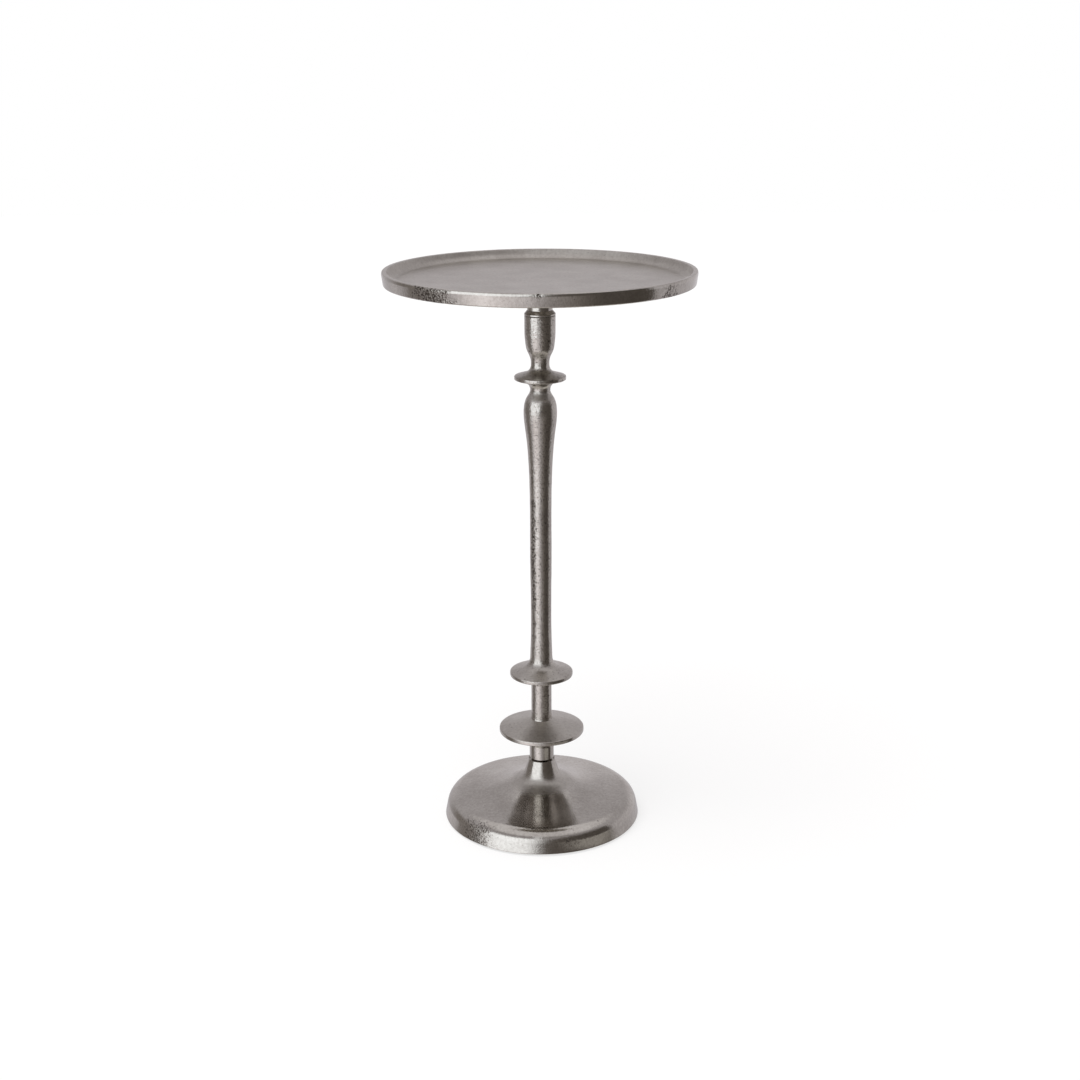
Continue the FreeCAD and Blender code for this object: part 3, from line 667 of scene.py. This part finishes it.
# Directions are in degrees, around from the front, with the left negative, and above the horizon. WALLS gives
# the brightness at eye level and SWEEP that of the floor farther off, each by its direction around.
WALLS = ((-180, 0.70), (-140, 0.50), (-118, 0.25), (-84, 0.26), (-40, 0.30), (-10, 0.17), (20, 0.13),
         (45, 0.10), (84, 0.10), (89, 0.54), (125, 0.62), (180, 0.70))
SWEEP = ((-180, 0.53), (-135, 0.64), (-120, 0.52), (-108, 0.22), (-85, 0.24), (-72, 0.55), (-55, 1.02),
         (-40, 1.16), (-28, 1.04), (-9, 0.72), (2, 0.44), (18, 0.29), (30, 0.18), (45, 0.10), (91, 0.09),
         (95, 0.48), (125, 0.55), (180, 0.53))
CEILING_BEHIND = (0.49, 0.47, 0.49, 1.0)
CEILING_AHEAD = (0.38, 0.36, 0.37, 1.0)
OVERHEAD = (0.74, 0.72, 0.74, 1.0)
SOFTBOX = (1.45, 1.50, 1.58, 1.0)
FLOOR_AT_FOOT = (0.60, 0.57, 0.54, 1.0)
PALE_LEVEL = 0.5
PALE_TINT = (1.0, 0.96, 1.0)
DIM_TINT = (1.0, 0.86, 0.75)
# Each span runs from where a part of the studio begins to where it is full.
CEILING_SPAN = 9.0, 28.0
OVERHEAD_SPAN = 41.0, 55.0
AHEAD_SPAN = 90.0, 60.0
SWEEP_SPAN = -11.0, -16.0
FOOT_SPAN = -40.0, -52.0
RIGHT_FLAG_HEIGHT = 14.0
RIGHT_FLAG_LEFT = 8.0, 28.0
RIGHT_FLAG_RIGHT = 95.0, 84.0
SOFTBOX_LEAN = 2.9
SOFTBOX_LEFT = -75.0, -69.0
SOFTBOX_TOP = 34.0, 22.0
SOFTBOX_RIGHT = 29.0, 1.0
SOFTBOX_FARTHEST_RIGHT = 12.0, -20.0
STRIP_PLACE = -6.0
STRIP_LEVEL = 0.6
STRIP_SIDE = 6.0, 2.0
STRIP_FOOT = 12.0, 20.0
STRIP_HEAD = 54.0, 44.0
studio = bpy.data.worlds.new("Soft studio")
bpy.context.scene.world = studio
studio.use_nodes = True
tree = studio.node_tree
tree.nodes.clear()
look = add(tree, "ShaderNodeTexCoord").outputs["Generated"]
look = add(tree, "ShaderNodeSeparateXYZ", {"Vector": look}).outputs
front = add(tree, "ShaderNodeMath", {0: look["Y"], 1: -1.0}, operation="MULTIPLY")
around = add(tree, "ShaderNodeMath", {0: look["X"], 1: front}, operation="ARCTAN2")
around = add(tree, "ShaderNodeMath", {0: around}, operation="DEGREES")
above = add(tree, "ShaderNodeMath", {0: look["Z"]}, operation="ARCSINE")
above = add(tree, "ShaderNodeMath", {0: above}, operation="DEGREES")
whole_turn = add(tree, "ShaderNodeMapRange", {"Value": around, "From Min": -180.0, "From Max": 180.0})
walls = add(tree, "ShaderNodeValToRGB", {"Fac": whole_turn})
sweep = add(tree, "ShaderNodeValToRGB", {"Fac": whole_turn})
for ramp, stops in ((walls, WALLS), (sweep, SWEEP)):
    while len(ramp.color_ramp.elements) < len(stops):
        ramp.color_ramp.elements.new(0.5)
    for stop, (degrees, level) in zip(ramp.color_ramp.elements, stops):
        stop.position = (degrees + 180) / 360
        paleness = min(level / PALE_LEVEL, 1.0)
        tint = [dim + (pale - dim) * paleness for dim, pale in zip(DIM_TINT, PALE_TINT)]
        stop.color = [level * share for share in tint] + [1.0]

flag_top = -RIGHT_FLAG_HEIGHT
for start, full in (RIGHT_FLAG_LEFT, RIGHT_FLAG_RIGHT):
    edge = add(tree, "ShaderNodeMapRange", {"Value": around, "From Min": start, "From Max": full})
    flag_top = add(tree, "ShaderNodeMath", {0: flag_top, 1: edge}, operation="MULTIPLY")
past_flags = add(tree, "ShaderNodeMath", {0: above, 1: flag_top}, operation="ADD")
apart = add(tree, "ShaderNodeMath", {0: around}, operation="ABSOLUTE")
rising, overhead, ahead, low, lowest = [
    add(tree, "ShaderNodeMapRange", {"Value": value, "From Min": start, "From Max": full},
        interpolation_type="SMOOTHSTEP")
    for value, (start, full) in ((past_flags, CEILING_SPAN), (above, OVERHEAD_SPAN), (apart, AHEAD_SPAN),
                                 (above, SWEEP_SPAN), (above, FOOT_SPAN))]

lean = add(tree, "ShaderNodeMath", {0: above, 1: -SOFTBOX_LEAN, 2: around}, operation="MULTIPLY_ADD")
softbox = 1.0
for value, (start, full) in ((lean, SOFTBOX_RIGHT), (around, SOFTBOX_LEFT), (above, SOFTBOX_TOP),
                             (around, SOFTBOX_FARTHEST_RIGHT)):
    edge = add(tree, "ShaderNodeMapRange", {"Value": value, "From Min": start, "From Max": full},
               interpolation_type="SMOOTHSTEP")
    softbox = add(tree, "ShaderNodeMath", {0: softbox, 1: edge}, operation="MULTIPLY")
strip = add(tree, "ShaderNodeMath", {0: around, 1: -STRIP_PLACE}, operation="ADD")
strip = add(tree, "ShaderNodeMath", {0: strip}, operation="ABSOLUTE")
strip = add(tree, "ShaderNodeMapRange",
            {"Value": strip, "From Min": STRIP_SIDE[0], "From Max": STRIP_SIDE[1], "To Max": STRIP_LEVEL},
            interpolation_type="SMOOTHSTEP")
for start, full in (STRIP_FOOT, STRIP_HEAD):
    edge = add(tree, "ShaderNodeMapRange", {"Value": above, "From Min": start, "From Max": full})
    strip = add(tree, "ShaderNodeMath", {0: strip, 1: edge}, operation="MULTIPLY")
lights = add(tree, "ShaderNodeMath", {0: softbox, 1: strip}, operation="MAXIMUM")

mirrored = walls.outputs[0]
ceiling = add(tree, "ShaderNodeMix", {"Factor": ahead, COLOUR_A: CEILING_BEHIND, COLOUR_B: CEILING_AHEAD},
              data_type="RGBA").outputs[COLOUR_RESULT]
ceiling = add(tree, "ShaderNodeMix", {"Factor": overhead, COLOUR_A: ceiling, COLOUR_B: OVERHEAD},
              data_type="RGBA").outputs[COLOUR_RESULT]
for amount, level in ((rising, ceiling), (lights, SOFTBOX), (low, sweep), (lowest, FLOOR_AT_FOOT)):
    mirrored = add(tree, "ShaderNodeMix", {"Factor": amount, COLOUR_A: mirrored, COLOUR_B: level},
                   data_type="RGBA").outputs[COLOUR_RESULT]
mirrored = add(tree, "ShaderNodeBackground", {"Color": mirrored})
plain_white = add(tree, "ShaderNodeBackground", {"Color": (1, 1, 1, 1)})
to_camera = add(tree, "ShaderNodeLightPath").outputs["Is Camera Ray"]
backdrop = add(tree, "ShaderNodeMixShader", {0: to_camera, 1: mirrored, 2: plain_white})
add(tree, "ShaderNodeOutputWorld", {"Surface": backdrop})

SUN_AIM = Vector((0.35, 0.3, -1.0))
key = bpy.data.objects.new("overhead_light", bpy.data.lights.new("overhead_light", "SUN"))
bpy.context.scene.collection.objects.link(key)
key.data.angle = math.radians(50)
key.data.energy = 2.2
key.rotation_euler = SUN_AIM.to_track_quat("-Z", "Y").to_euler()
key.visible_glossy = False


# Camera. It stands straight in front of the table, higher than the tray, and looks slightly down, as the
# photograph's camera did.
CAMERA_PLACE = (-0.9 * MM, -1692.2 * MM, 843.8 * MM)
CAMERA_TILT = 17.292
CAMERA_PAN = -0.244
camera = bpy.data.objects.new("camera", bpy.data.cameras.new("camera"))
bpy.context.scene.collection.objects.link(camera)
camera.data.sensor_width = 36.0
camera.data.lens = 55.66
camera.location = CAMERA_PLACE
camera.rotation_mode = "ZYX"
camera.rotation_euler = (math.radians(90 - CAMERA_TILT), 0.0, math.radians(CAMERA_PAN))
bpy.context.scene.camera = camera
bpy.context.scene.view_settings.view_transform = "Standard"
